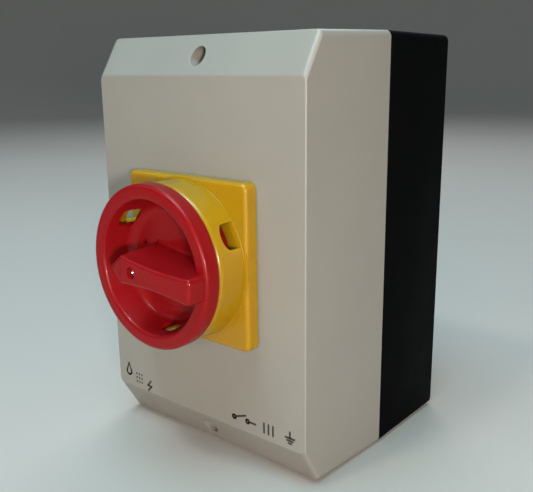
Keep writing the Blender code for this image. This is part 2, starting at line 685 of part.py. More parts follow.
def knob(parent):
    """Red dished knob: rim, cone, floor, skirt and hub turned in one, with the grip bar across it."""
    hub, hub_end = KNOB_HUB
    skirt_in, skirt_out, skirt_end = KNOB_SKIRT
    floor_back = KNOB_FLOOR - KNOB_WALL
    profile = [
        (0, KNOB_FLOOR), (0.0224, KNOB_FLOOR), (0.0262, 0.1244), (0.0266, 0.1250),
        (0.0274, KNOB_CROWN), (0.0304, KNOB_CROWN), (0.0314, 0.1249), (KNOB, 0.1239),
        (KNOB, KNOB_BACK + 0.0006), (KNOB - 0.0006, KNOB_BACK), (0.0264, KNOB_BACK),
        (skirt_out, KNOB_BACK - 0.0008), (skirt_out, skirt_end), (skirt_in, skirt_end),
        (skirt_in, floor_back), (hub, floor_back), (hub, hub_end), (0, hub_end),
    ]
    body = turned("knob", profile, "red_plastic", parent, steps=54)
    turn = (0, 0, math.radians(KNOB_TURN))
    foot = grip_bar(KNOB_FLOOR - KNOB_WALL / 2, BAR_FOOT_REACH)
    join(body, add_tool("grip_bar", foot, parent, rotation=turn),
         add_tool("grip_bar_end", grip_bar(0.1215, BAR_END), parent, rotation=turn))
    square = SLEEVE_SQUARE + GAP
    bore, bore_floor = COUNTERBORE
    pin_radius, pin_reach, pin_angle = PIN_HOLE
    pin_place = Matrix.Rotation(math.radians(pin_angle), 2) @ Vector((pin_reach, 0))
    pin_hole = rod(floor_back - CLEAR, KNOB_FLOOR + CLEAR, pin_radius, pin_place, 12)
    cut(body, add_tool("knob_socket", block(0.102, 0.1064, (square, square)), parent),
        add_tool("knob_screw_hole", rod(0.100, 0.140, KNOB_SCREW_HOLE, (0, 0), 20), parent),
        add_tool("knob_counterbore", rod(bore_floor, 0.140, bore, (0, 0), 28), parent),
        add_tool("knob_pin_hole", pin_hole, parent))
    for angle in SLOT_ANGLES:
        slot = block(KNOB_FLOOR + GAP, SLOT_TOP, SLOT_HALF, centre=(0, 0.0248), corner=0.0004,
                     segments=1)
        turn = (0, 0, math.radians(angle - 90))
        cut(body, add_tool("shackle_slot_%d" % angle, slot, parent, rotation=turn))
    screw("knob_screw", 0.0027, 0.0018, 0.0014, 0.0270, parent, (0, 0, bore_floor + GAP),
          slotted=False, steps=16)


def grip_bar(low, reach):
    """Pointed bar down to one height; its sides lean out towards the floor of the dish."""
    side = [(-0.0062, 0.0055), (0.0040, 0.0047), (0.0135, 0.0042), (reach, 0.0045)]
    outline = [(-0.0120, 0)] + [(x, -y) for x, y in side] + list(reversed(side))
    form = extruded(low, BAR_FACE, outline)
    lean = (BAR_FACE - low) / (BAR_FACE - KNOB_FLOOR)
    for vert in form.verts:
        if vert.co.z < BAR_FACE - 0.001:
            vert.co.y *= 1 + 0.22 * lean
            vert.co.x *= 1 if vert.co.x > 0 else 1 + 0.08 * lean
    return form


def build():
    wall = new_empty("wall_frame")
    wall.rotation_euler = (math.pi / 2, 0, 0)
    base = new_empty("base", parent=wall)
    lid = new_empty("cover_body", parent=wall)
    rotor = new_empty("rotor_axis", parent=wall)
    knob_axis = new_empty("knob_axis", parent=wall)
    base_box(base)
    mounting_foot(base)
    for number in (1, 2, 3):
        pole(number, base, rotor)
    detent(base, rotor)
    stack_closing(base, rotor)
    link_terminals(base)
    cover(lid)
    cover_fittings(lid)
    escutcheon(lid)
    handle_fittings(lid)
    drive_sleeve(knob_axis)
    knob(knob_axis)
    bpy.context.view_layer.update()


clear_scene()
parts = new_collection(NAME)
tools = new_collection("cutters")
build()
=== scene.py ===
"""Looks for the enclosed rotary isolator switch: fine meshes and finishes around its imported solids.

Shapes are drawn as if the switch lies on its back: x to the right, y up the wall, z out of the
wall, with the origin in the middle of the rear face. A finished mesh is then stood up in the frame
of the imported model, where +Z is up, the wall is at y = 0 and the handle faces -Y.
"""

import json
import math

import bmesh
import bpy
from mathutils import Matrix, Vector


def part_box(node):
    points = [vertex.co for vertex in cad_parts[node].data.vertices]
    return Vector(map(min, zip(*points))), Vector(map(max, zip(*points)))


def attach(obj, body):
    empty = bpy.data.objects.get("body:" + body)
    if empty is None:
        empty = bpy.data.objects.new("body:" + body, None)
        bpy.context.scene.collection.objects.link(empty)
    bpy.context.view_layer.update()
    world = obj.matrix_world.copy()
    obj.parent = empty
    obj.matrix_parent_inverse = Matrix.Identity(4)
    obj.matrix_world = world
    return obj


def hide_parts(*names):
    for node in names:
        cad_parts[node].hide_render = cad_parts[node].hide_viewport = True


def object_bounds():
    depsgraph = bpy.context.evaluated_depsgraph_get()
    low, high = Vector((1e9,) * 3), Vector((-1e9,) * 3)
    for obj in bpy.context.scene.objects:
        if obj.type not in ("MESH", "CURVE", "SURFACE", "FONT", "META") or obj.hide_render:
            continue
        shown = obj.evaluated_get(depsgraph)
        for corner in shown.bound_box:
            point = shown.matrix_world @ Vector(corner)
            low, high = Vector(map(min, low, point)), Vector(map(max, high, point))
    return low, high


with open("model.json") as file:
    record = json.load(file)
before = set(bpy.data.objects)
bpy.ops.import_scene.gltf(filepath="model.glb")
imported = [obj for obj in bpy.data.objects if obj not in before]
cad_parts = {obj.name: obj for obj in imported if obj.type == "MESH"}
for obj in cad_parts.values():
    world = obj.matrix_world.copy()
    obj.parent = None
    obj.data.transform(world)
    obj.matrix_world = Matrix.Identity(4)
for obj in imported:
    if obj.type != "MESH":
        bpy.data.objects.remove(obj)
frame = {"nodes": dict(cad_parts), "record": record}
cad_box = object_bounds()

UPRIGHT = Matrix.Rotation(math.pi / 2, 4, "X")


def drawn_box(node):
    """A node's lowest and highest corners, as the drawing has them."""
    low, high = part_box(node)
    return Vector((low.x, low.z, -high.y)), Vector((high.x, high.z, -low.y))


# ---------------------------------------------------------------- sizes

COVER_LOW, COVER_HIGH = drawn_box("cover")
PLATE_LOW, PLATE_HIGH = drawn_box("escutcheon")
KNOB_LOW, KNOB_HIGH = drawn_box("knob")
SCREW_LOW, SCREW_HIGH = drawn_box("knob_screw")
SEAM = COVER_LOW.z
FRONT = COVER_HIGH.z
HALF = (COVER_HIGH.x, COVER_HIGH.y)

# Cover
DRAFT = 0.0008                  # how much the walls lean in from the seam to the shoulder
SHOULDER = FRONT - 0.009        # where the slopes above and below the flat face begin
FLAT_HALF_Y = 0.0700
CORNER = 0.0026
SHARPEST_CORNER = 0.0008        # of the cover's inside
EDGE = 0.0006
WALL = 0.0028
SCREW_Y = 0.077
BORE = 0.0036                   # the screw wells
BORE_EDGE = 0.0004
BOSS = 0.0058
BOSS_FOOT = 0.030
SCREW_SEAT = 0.0585
SCREW_HOLE = 0.0023
SCREW_HOLE_SPAN = (0.040, 0.062)
OVER_COVER = 0.110              # cutters for the wells end here
FACE_SPAN = (0.090, 0.105)      # cutters through the cover's face run between these

# Handle plate and ring
PLATE_HALF = PLATE_HIGH.x
PLATE_BACK = FRONT + 0.0004
PLATE_TOP = FRONT + 0.0060
PLATE_CORNER = 0.0030
PLATE_ROUND = 0.0016
PLATE_FLOOR = FRONT + 0.0040
STEP_IN = 0.0140                # the floor is level with the plate from here out to the ring
RING_IN = 0.0288
RING_OUT = 0.0315
RING_TOP = PLATE_HIGH.z
RING_ROUND = 0.0021
OVERLAP = 0.001                 # how far solids reach into each other where they are joined
SPIGOT = 0.0117
SPIGOT_SLACK = 0.0003
SLEEVE_BORE = 0.0084
SLEEVE_SPAN = (0.090, 0.110)
SEAL_BORE = 0.0102
SEAL_SPAN = (0.090, 0.0985)
HANDLE_SCREW = 0.0255
HANDLE_SCREW_HOLE = 0.0019
CLIP_X = 0.0123
CLIP_NOTCH = (0.0012, 0.0010)   # half its width, half its depth
WINDOW_ANGLES = (26, 146, 266)
WINDOW_HALF = 0.00515
WINDOW_SPRING = FRONT + 0.0115
WINDOW_TOP = FRONT + 0.0148
WINDOW_SILL = PLATE_TOP + 0.0005
WINDOW_SPAN = (0.024, 0.036)    # cutters run outwards between these

# Knob
KNOB = KNOB_HIGH.x
DISH = FRONT + 0.0140           # the floor of the dish
CROWN = FRONT + 0.0263
RIM_BACK = FRONT + 0.0196
SKIRT_IN = 0.0236               # the wall behind the dish, inside the ring
SKIRT_OUT = 0.0256
SKIRT_END = PLATE_TOP + 0.0004
DISH_THICK = 0.0020
HUB = 0.0110
HUB_SOCKET = 0.0059             # half its width
HUB_SOCKET_SPAN = (0.102, 0.1064)
BAR_TOP = KNOB_HIGH.z
BAR_END = 0.0309
BAR_TOP_ROUND = 0.0013
BAR_FOOT_ROUND = 0.0014
BAR_TURN = -4                   # degrees
SHACKLE_SLOTS = ((134.5, -1), (285, 1), (30, -1))   # angle, and which way round the slot is
SLOT_SPAN = (0.0226, 0.0290)
SCREW_WAY = 0.0018
COUNTERBORE = 0.0023
COUNTERBORE_DEPTH = 0.0018      # below the top of the screw's head
PIN_HOLE = 0.0012               # a small hole in the dish's floor
PIN_HOLE_AT = (0.0160, 157)     # distance from the axis, angle
KNOB_SPAN = (0.100, 0.140)      # cutters through the knob run between these

# Printed marks
INK = 0.00003                   # thickness
MARK_HEIGHT = 0.0050
STROKE = 0.0009
DROP = (-0.0480, -0.0632)
DUST = (-0.0410, -0.0650)
DUST_PITCH = (0.0017, 0.0019)
DOT = 0.0002
BOLT = (-0.0340, -0.0668)
CONTACT = (0.0185, -0.0650)
POLES = (0.0345, 0.0368, 0.0391)
EARTH = 0.0476
EARTH_BARS = (0.0022, 0.0014, 0.0007)
EARTH_PITCH = 0.0011

SMOOTH_BELOW = math.radians(32)


# ---------------------------------------------------------------- mesh tools

def polar(radius, angle, centre=(0, 0)):
    turn = math.radians(angle)
    return (centre[0] + radius * math.cos(turn), centre[1] + radius * math.sin(turn))


def arc(radius, start, end, count, centre=(0, 0)):
    """Points on a circle, from one angle to another in degrees, both ends included."""
    return [polar(radius, start + (end - start) * step / count, centre) for step in range(count + 1)]


def rounded(corners, closed=False, steps=6):
    """A path through (x, y, radius) corners, each with a radius turned into an arc."""
    points = []
    count = len(corners)
    for index, (x, y, radius) in enumerate(corners):
        here = Vector((x, y))
        if not radius or (not closed and index in (0, count - 1)):
            points.append(here)
            continue
        to_before = (Vector(corners[index - 1][:2]) - here).normalized()
        to_after = (Vector(corners[(index + 1) % count][:2]) - here).normalized()
        half = to_before.angle(to_after) / 2
        centre = here + (to_before + to_after).normalized() * radius / math.sin(half)
        start = here + to_before * radius / math.tan(half) - centre
        end = here + to_after * radius / math.tan(half) - centre
        sweep = start.angle_signed(end)
        for step in range(steps + 1):
            points.append(centre + Matrix.Rotation(-sweep * step / steps, 2) @ start)
    return [tuple(point) for point in points]


def rectangle(half, corner=0.0, centre=(0, 0), steps=6):
    """Outline of a rectangle, from half its width and height, with rounded corners."""
    x, y = centre
    corners = [(x + side * half[0], y + end * half[1], corner)
               for side, end in ((-1, -1), (1, -1), (1, 1), (-1, 1))]
    return rounded(corners, closed=True, steps=steps)


def to_mesh(form, name="shape"):
    """Turn a working mesh into a finished one, with its faces looking outwards."""
    bmesh.ops.recalc_face_normals(form, faces=form.faces)
    mesh = bpy.data.meshes.new(name)
    form.to_mesh(mesh)
    form.free()
    return mesh


def prism(outline, low, high):
    """A flat outline given thickness along z."""
    form = bmesh.new()
    face = form.faces.new([form.verts.new((x, y, low)) for x, y in outline])
    grown = bmesh.ops.extrude_face_region(form, geom=[face])["geom"]
    bmesh.ops.translate(form, verts=[v for v in grown if isinstance(v, bmesh.types.BMVert)],
                        vec=(0, 0, high - low))
    return to_mesh(form)


def turned(profile, steps=144, closed=False):
    """Solid of revolution about z.

    An open profile starts and ends on the axis. A closed one stays off it and makes a ring.
    """
    form = bmesh.new()
    verts = [form.verts.new((radius, 0, z)) for radius, z in profile]
    after = verts[1:] + verts[:1] if closed else verts[1:]
    edges = [form.edges.new(pair) for pair in zip(verts, after)]
    bmesh.ops.spin(form, geom=verts + edges, cent=(0, 0, 0), axis=(0, 0, 1), steps=steps,
                   angle=2 * math.pi, use_merge=True)
    bmesh.ops.remove_doubles(form, verts=form.verts, dist=0.000002)
    return to_mesh(form)


def rod(radius, low, high, centre=(0, 0), steps=64):
    profile = [(0, low), (radius, low), (radius, high), (0, high)]
    mesh = turned(profile, steps)
    mesh.transform(Matrix.Translation((*centre, 0)))
    return mesh


def block(half, low, high, centre=(0, 0)):
    return prism(rectangle(half, 0.0, centre), low, high)


def radial(outline, angle, start, end):
    """A prism of (sideways, z) points that runs outwards at an angle from the z axis."""
    mesh = prism([(-x, y) for x, y in outline], -end, -start)
    mesh.transform(Matrix.Rotation(math.radians(angle - 90), 4, "Z") @ UPRIGHT)
    return mesh


def combined(mesh, operation, *tools):
    """A mesh after a Boolean with each of the tools in turn."""
    for tool in tools:
        body = bpy.data.objects.new("body", mesh)
        other = bpy.data.objects.new("tool", tool)
        for item in (body, other):
            bpy.context.scene.collection.objects.link(item)
        step = body.modifiers.new("step", "BOOLEAN")
        step.operation = operation
        step.solver = "EXACT"
        step.object = other
        evaluated = body.evaluated_get(bpy.context.evaluated_depsgraph_get())
        mesh = bpy.data.meshes.new_from_object(evaluated)
        for item in (body, other):
            bpy.data.objects.remove(item)
    return mesh


def joined(mesh, *tools):
    return combined(mesh, "UNION", *tools)


def cut(mesh, *tools):
    return combined(mesh, "DIFFERENCE", *tools)


def loft(rings):
    """A closed solid through outlines with the same number of (x, y, z) points."""
    form = bmesh.new()
    rows = [[form.verts.new(point) for point in outline] for outline in rings]
    form.faces.new(rows[0])
    form.faces.new(rows[-1])
    for lower, upper in zip(rows, rows[1:]):
        for index in range(len(lower)):
            after = (index + 1) % len(lower)
            form.faces.new((lower[index], lower[after], upper[after], upper[index]))
    return to_mesh(form)


def merged(meshes):
    """Several meshes as one, without a Boolean, for shapes that stand apart."""
    form = bmesh.new()
    for mesh in meshes:
        form.from_mesh(mesh)
    return to_mesh(form)


def softened(mesh, chosen, width, segments=3):
    """A mesh with the chosen edges rounded."""
    form = bmesh.new()
    form.from_mesh(mesh)
    edges = [edge for edge in form.edges if chosen(edge)]
    bmesh.ops.bevel(form, geom=edges, offset=width, segments=segments, profile=0.5,
                    affect="EDGES", clamp_overlap=True)
    return to_mesh(form)


def add_piece(name, mesh, body, finish, nodes=(), turn=0.0):
    """Stand a drawn mesh up, give it its finish and let it ride on its body."""
    mesh.transform(UPRIGHT @ Matrix.Rotation(math.radians(turn), 4, "Z"))
    mesh.name = name
    mesh.materials.clear()
    mesh.materials.append(finish)
    mesh.shade_smooth()
    mesh.set_sharp_from_angle(angle=SMOOTH_BELOW)
    piece = bpy.data.objects.new(name, mesh)
    bpy.context.scene.collection.objects.link(piece)
    weighting = piece.modifiers.new("weighted_normals", "WEIGHTED_NORMAL")
    weighting.keep_sharp = True
    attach(piece, body)
    if nodes:
        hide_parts(*nodes)
    return piece


# ---------------------------------------------------------------- finishes

class Finish:
    """A node material: a Principled shader fed by noise in the object's own coordinates."""

    def __init__(self, name, colour, roughness, metallic=0.0, specular=0.5, coat=0.0):
        self.material = bpy.data.materials.new(name)
        self.material.use_nodes = True
        self.nodes = self.material.node_tree.nodes
        self.links = self.material.node_tree.links
        self.shader = self.nodes["Principled BSDF"]
        self.colour = colour
        self.roughness = roughness
        self.shader.inputs["Roughness"].default_value = roughness
        self.shader.inputs["Metallic"].default_value = metallic
        self.shader.inputs["Specular IOR Level"].default_value = specular
        self.shader.inputs["Coat Weight"].default_value = coat
        self.shader.inputs["Coat Roughness"].default_value = 0.10
        self.place = self.nodes.new("ShaderNodeTexCoord").outputs["Object"]

    def translucent(self, weight, radii):
        """Let light through the skin, to a depth in metres for each of red, green and blue."""
        self.shader.inputs["Subsurface Weight"].default_value = weight
        self.shader.inputs["Subsurface Scale"].default_value = 1.0
        self.shader.inputs["Subsurface Radius"].default_value = radii

    def noise(self, size, detail=3.0, stretch=(1, 1, 1)):
        """Noise whose lumps are about this many metres across."""
        scaled = self.nodes.new("ShaderNodeMapping")
        scaled.inputs["Scale"].default_value = [value / size for value in stretch]
        self.links.new(self.place, scaled.inputs["Vector"])
        made = self.nodes.new("ShaderNodeTexNoise")
        made.inputs["Scale"].default_value = 1.0
        made.inputs["Detail"].default_value = detail
        made.inputs["Roughness"].default_value = 0.5
        self.links.new(scaled.outputs["Vector"], made.inputs["Vector"])
        return made.outputs["Fac"]

    def ranged(self, source, low, high):
        """A noise's usual span, 0.3 to 0.7, stretched to run from low to high."""
        made = self.nodes.new("ShaderNodeMapRange")
        made.inputs["From Min"].default_value = 0.3
        made.inputs["From Max"].default_value = 0.7
        made.inputs["To Min"].default_value = low
        made.inputs["To Max"].default_value = high
        self.links.new(source, made.inputs["Value"])
        return made.outputs["Result"]

    def tint(self, source, spread):
        """Lighten and darken the colour by the given share, following a noise."""
        blend = self.nodes.new("ShaderNodeMix")
        blend.data_type = "RGBA"
        light = [min(1.0, value * (1 + spread)) for value in self.colour]
        dark = [value * (1 - spread) for value in self.colour]
        blend.inputs[6].default_value = (*dark, 1)
        blend.inputs[7].default_value = (*light, 1)
        self.links.new(self.ranged(source, 0.0, 1.0), blend.inputs[0])
        self.links.new(blend.outputs[2], self.shader.inputs["Base Color"])

    def gloss(self, source, spread):
        """Vary the roughness by the given amount, following a noise."""
        low, high = self.roughness - spread, self.roughness + spread
        self.links.new(self.ranged(source, low, high), self.shader.inputs["Roughness"])

    def relief(self, *layers):
        """Bumps, each as a noise and a height in metres, one on top of another."""
        below = None
        for source, height in layers:
            bump = self.nodes.new("ShaderNodeBump")
            bump.inputs["Strength"].default_value = 1.0
            bump.inputs["Distance"].default_value = height
            self.links.new(source, bump.inputs["Height"])
            if below:
                self.links.new(below, bump.inputs["Normal"])
            below = bump.outputs["Normal"]
        self.links.new(below, self.shader.inputs["Normal"])


def moulded(name, colour, roughness, grain, grain_height, spread=0.03, specular=0.5, coat=0.0,
            depth=None):
    """Moulded plastic with a fine spark-eroded grain and faint flow variation."""
    made = Finish(name, colour, roughness, specular=specular, coat=coat)
    made.tint(made.noise(0.035, 4.0), spread)
    made.gloss(made.noise(0.015, 3.0), 0.06 * roughness)
    made.relief((made.noise(0.012, 2.0), 0.000004), (made.noise(grain, 3.0), grain_height))
    if depth:
        made.translucent(0.5, depth)
    return made.material


def machined(name, colour, roughness, stretch):
    """Bare metal with fine directional marks."""
    made = Finish(name, colour, roughness, metallic=1.0)
    made.tint(made.noise(0.006, 4.0), 0.08)
    marks = made.noise(0.0006, 4.0, stretch)
    made.gloss(marks, 0.10)
    made.relief((marks, 0.00001))
    return made.material


def make_finishes():
    """One finish for each material slot, and one for the printed marks."""
    return {
        "grey_plastic": moulded("moulded_grey", (0.225, 0.205, 0.180), 0.42, 0.00045, 0.000005),
        "black_plastic": moulded("moulded_black", (0.0015, 0.0015, 0.0018), 0.65, 0.0005, 0.000004,
                                 specular=0.03),
        "red_plastic": moulded("moulded_red", (0.20, 0.0025, 0.004), 0.36, 0.0006, 0.000001, 0.015,
                               specular=0.13, coat=0.10, depth=(0.0020, 0.0003, 0.0003)),
        "yellow_plastic": moulded("moulded_yellow", (0.31, 0.165, 0.003), 0.30, 0.0006, 0.000001, 0.012,
                                  specular=0.25, coat=0.18, depth=(0.0070, 0.0045, 0.0008)),
        "housing_plastic": moulded("moulded_ivory", (0.62, 0.59, 0.50), 0.48, 0.0004, 0.000006),
        "rotor_plastic": moulded("moulded_slate", (0.10, 0.11, 0.12), 0.42, 0.0004, 0.000006),
        "rubber": moulded("seal_rubber", (0.022, 0.022, 0.022), 0.75, 0.0003, 0.00001, specular=0.3),
        "steel": machined("zinc_plated_steel", (0.66, 0.66, 0.68), 0.30, (1, 1, 0.2)),
        "brass": machined("drawn_brass", (0.76, 0.56, 0.24), 0.28, (1, 0.15, 1)),
        "copper": machined("rolled_copper", (0.80, 0.42, 0.28), 0.30, (0.15, 1, 1)),
        "ink": moulded("printing_ink", (0.030, 0.022, 0.018), 0.55, 0.0003, 0.000004),
    }


# ---------------------------------------------------------------- cover

def cap(inset, low):
    """The chamfered cap, or the surface that lies a wall's thickness inside it."""
    slope = math.atan2(HALF[1] - DRAFT - FLAT_HALF_Y, FRONT - SHOULDER)
    shoulder_z = SHOULDER - inset * math.tan(slope / 2)
    flat_y = FLAT_HALF_Y - inset * math.tan((math.pi / 2 - slope) / 2)
    corner = max(CORNER - inset, SHARPEST_CORNER)
    sections = (
        (low, HALF[0] - inset, HALF[1] - inset),
        (shoulder_z, HALF[0] - DRAFT - inset, HALF[1] - DRAFT - inset),
        (FRONT - inset, HALF[0] - DRAFT - inset, flat_y),
    )
    return loft([[(x, y, z) for x, y in rectangle(half, corner, steps=8)] for z, *half in sections])


def on_bore_mouth(edge):
    """Whether an edge lies where a screw well breaks out through the slope."""
    first, second = (vert.co for vert in edge.verts)
    for point in (first, second):
        away = math.hypot(point.x, abs(point.y) - SCREW_Y)
        if abs(away - BORE) > 0.00003 or point.z < SCREW_SEAT + 0.001:
            return False
    return (first.xy - second.xy).length > 0.00001


def cover(finishes):
    shell = cap(0, SEAM)
    shell = softened(shell, lambda edge: edge.calc_face_angle(0) > math.radians(24), EDGE)
    hollow = cap(WALL, SEAM - 0.004)
    for side in (-1, 1):
        hollow = cut(hollow, rod(BOSS, BOSS_FOOT, OVER_COVER, (0, side * SCREW_Y)))
    shell = cut(shell, hollow)
    for side in (-1, 1):
        at = (0, side * SCREW_Y)
        shell = cut(shell, rod(BORE, SCREW_SEAT, OVER_COVER, at), rod(SCREW_HOLE, *SCREW_HOLE_SPAN, at, 32))
        for end in (-1, 1):
            at = (side * HANDLE_SCREW, end * HANDLE_SCREW)
            shell = cut(shell, rod(HANDLE_SCREW_HOLE, *FACE_SPAN, at, 24))
    shell = cut(shell, rod(SPIGOT + SPIGOT_SLACK, *FACE_SPAN, steps=96))
    shell = softened(shell, on_bore_mouth, BORE_EDGE, 2)
    add_piece("cover_shell", shell, "cover", finishes["grey_plastic"], ["cover"])


# ---------------------------------------------------------------- handle

def handle_plate(finishes):
    """The square plate with its raised ring, three windows, spigot and clip notches."""
    buried = PLATE_BACK + OVERLAP
    plate = prism(rectangle((PLATE_HALF, PLATE_HALF), PLATE_CORNER, steps=8), PLATE_BACK, PLATE_TOP)
    plate = softened(plate, lambda edge: all(v.co.z > PLATE_TOP - 0.0001 for v in edge.verts),
                     PLATE_ROUND, 6)
    plate = cut(plate, rod(RING_IN, PLATE_FLOOR, 0.125, steps=180))
    inside = RING_IN + 0.0005
    step = [(STEP_IN, buried), (inside, buried), (inside, PLATE_TOP), (STEP_IN, PLATE_TOP)]
    collar = rounded([
        (RING_OUT + 0.0012, buried, 0), (RING_OUT + 0.0012, PLATE_TOP + 0.0001, 0),
        (RING_OUT, PLATE_TOP + 0.0001, 0.0002), (RING_OUT, RING_TOP, RING_ROUND),
        (RING_IN, RING_TOP, 0.0005), (RING_IN, buried, 0),
    ], steps=8)
    plate = joined(plate, turned(step, 180, closed=True), turned(collar, 180, closed=True),
                   rod(SPIGOT, PLATE_LOW.z, buried, steps=96))
    plate = cut(plate, rod(SLEEVE_BORE, *SLEEVE_SPAN, steps=96), rod(SEAL_BORE, *SEAL_SPAN, steps=96))
    rise = WINDOW_TOP - WINDOW_SPRING
    arch = [(x, WINDOW_SPRING + y * rise / WINDOW_HALF) for x, y in arc(WINDOW_HALF, 0, 180, 24)]
    window = arch + [(-WINDOW_HALF, WINDOW_SILL), (WINDOW_HALF, WINDOW_SILL)]
    for angle in WINDOW_ANGLES:
        plate = cut(plate, radial(window, angle, *WINDOW_SPAN))
    for x in (-CLIP_X, CLIP_X):
        for side in (-1, 1):
            at = (x, side * (PLATE_HALF + 0.0001))
            plate = cut(plate, block(CLIP_NOTCH, 0.098, PLATE_BACK + 0.0009, at))
    add_piece("handle_plate", plate, "cover", finishes["yellow_plastic"],
              ["escutcheon"])


def knob_profile():
    """From the middle of the dish's floor, over the rim and round to the back of the hub."""
    return rounded([
        (0, DISH, 0), (0.0183, DISH, 0), (0.01845, DISH + 0.00006, 0),
        (0.0222, DISH + 0.00006, 0.0046),
        (0.0264, CROWN, 0.0018),
        (KNOB, CROWN, 0.0017),
        (KNOB, RIM_BACK, 0.0006),
        (SKIRT_OUT + 0.0008, RIM_BACK, 0.0003),
        (SKIRT_OUT, RIM_BACK - 0.0008, 0.0004),
        (SKIRT_OUT, SKIRT_END, 0.0004),
        (SKIRT_IN, SKIRT_END, 0.0004),
        (SKIRT_IN, DISH - DISH_THICK, 0.0006),
        (HUB, DISH - DISH_THICK, 0.0005),
        (HUB, KNOB_LOW.z, 0.0004),
        (0, KNOB_LOW.z, 0),
    ], steps=8)


def bar_side(reach):
    """The waisted side of the grip bar, from its shoulder near the point to its end."""
    waist, half_waist, bend = 0.0145, 0.0042, 3.0
    shoulder = -0.0062
    along = [shoulder + (reach - shoulder) * step / 16 for step in range(17)]
    return [(x, half_waist + bend * (x - waist) ** 2) for x in along]


def bar_levels():
    """Heights down the bar and how far its side is drawn in there: round top edge, flared foot."""
    quarter = [math.pi / 2 * step / 5 for step in range(6)]
    levels = [(BAR_TOP - BAR_TOP_ROUND * (1 - math.sin(angle)), BAR_TOP_ROUND * (1 - math.cos(angle)))
              for angle in reversed(quarter)]
    levels.append((DISH + BAR_FOOT_ROUND + 0.002, 0.0))
    levels += [(DISH + BAR_FOOT_ROUND * (1 - math.sin(angle)), -BAR_FOOT_ROUND * (1 - math.cos(angle)))
               for angle in quarter]
    levels.append((DISH - 0.0006, -BAR_FOOT_ROUND))
    return levels


def grip_bar():
    """The bar as a stack of outlines, with leaning sides, cut off inside the rim."""
    point, blunt, end_round = -0.0120, 0.0008, 0.0018
    side = bar_side(BAR_END)
    corners = [(point, 0, blunt)]
    corners += [(side[0][0], -side[0][1], blunt)] + [(x, -y, 0) for x, y in side[1:-1]]
    corners += [(side[-1][0], -side[-1][1], end_round), (side[-1][0], side[-1][1], end_round)]
    corners += [(x, y, 0) for x, y in reversed(side[1:-1])] + [(side[0][0], side[0][1], blunt)]
    outline = [Vector(corner) for corner in rounded(corners, closed=True, steps=4)]
    normals = []
    for index in range(len(outline)):
        along = outline[(index + 1) % len(outline)] - outline[index - 1]
        normals.append(Vector((along.y, -along.x)).normalized())
    rings = []
    for z, inset in bar_levels():
        lean = (BAR_TOP - z) / (BAR_TOP - DISH)
        places = [place - normal * inset for place, normal in zip(outline, normals)]
        rings.append([(x if x > 0 else x * (1 + 0.08 * lean), y * (1 + 0.22 * lean), z)
                      for x, y in places])
    keep = turned([(0, DISH - 0.0010), (0.0234, DISH - 0.0010), (0.0262, RIM_BACK + 0.0010),
                   (0.0330, RIM_BACK + 0.0014), (0.0330, BAR_TOP + 0.001), (0, BAR_TOP + 0.001)])
    return combined(loft(rings), "INTERSECT", keep)


def shackle_slot(flip):
    """Outline of an opening in the dish's wall: an upright edge, then a roof that falls away."""
    low = DISH - 0.0012
    return rounded([
        (-0.0061 * flip, low, 0), (-0.0061 * flip, DISH + 0.0077, 0.0012),
        (0.0028 * flip, DISH + 0.0083, 0.0030), (0.0062 * flip, DISH + 0.0030, 0.0010),
        (0.0062 * flip, low, 0),
    ], closed=True)


def knob(finishes):
    """The red handle: dish, rim, skirt, hub and grip bar, with its slots and holes."""
    bar = grip_bar()
    bar.transform(Matrix.Rotation(math.radians(BAR_TURN), 4, "Z"))
    body = joined(turned(knob_profile()), bar)
    for angle, flip in SHACKLE_SLOTS:
        body = cut(body, radial(shackle_slot(flip), angle, *SLOT_SPAN))
    body = cut(body, block((HUB_SOCKET, HUB_SOCKET), *HUB_SOCKET_SPAN),
               rod(SCREW_WAY, *KNOB_SPAN, steps=32),
               rod(COUNTERBORE, SCREW_HIGH.z - COUNTERBORE_DEPTH, KNOB_SPAN[1]),
               rod(PIN_HOLE, *KNOB_SPAN, polar(*PIN_HOLE_AT), 32))
    add_piece("knob_body", body, "knob", finishes["red_plastic"], ["knob"])


def cross_recess(reach, half, top, depth):
    """Cutter for a cross recess whose arms narrow with depth."""
    outline = []
    for quarter in range(4):
        turn = Matrix.Rotation(-math.pi / 2 * quarter, 2)
        outline += [turn @ Vector(corner) for corner in ((half, reach), (half, half), (reach, half))]
    return loft([[(x * scale, y * scale, z) for x, y in outline]
                 for z, scale in ((top - depth, 0.35), (top + 0.0005, 1.15))])


def handle_screw(finishes):
    """The screw in the bar: a domed head with a cross recess, on a plain shank."""
    low, top = SCREW_LOW.z, SCREW_HIGH.z
    shank, head, under_head = 0.0014, 0.0021, top - 0.0014
    profile = rounded([
        (0, low, 0), (0.0010, low, 0), (shank, low + 0.0006, 0), (shank, under_head, 0.0001),
        (head, under_head, 0.0001), (head, top - 0.0004, 0.0003), (0.0013, top, 0.0010), (0, top, 0),
    ])
    screw = cut(turned(profile, 64), cross_recess(0.0014, 0.0003, top, 0.0011))
    add_piece("knob_screw_fine", screw, "knob", finishes["steel"], ["knob_screw"], 20)


# ---------------------------------------------------------------- printed marks

def stroke(start, end, width=STROKE):
    """A printed line with round ends, between two points of the cover's face."""
    start, end = Vector(start), Vector(end)
    along = math.degrees(math.atan2(end.y - start.y, end.x - start.x))
    outline = arc(width / 2, along - 90, along + 90, 8, end)
    outline += arc(width / 2, along + 90, along + 270, 8, start)
    return prism(outline, FRONT, FRONT + INK)


def strokes(*points):
    return [stroke(*pair) for pair in zip(points, points[1:])]


def hoop(centre, radius):
    return strokes(*arc(radius, 0, 360, 20, centre))


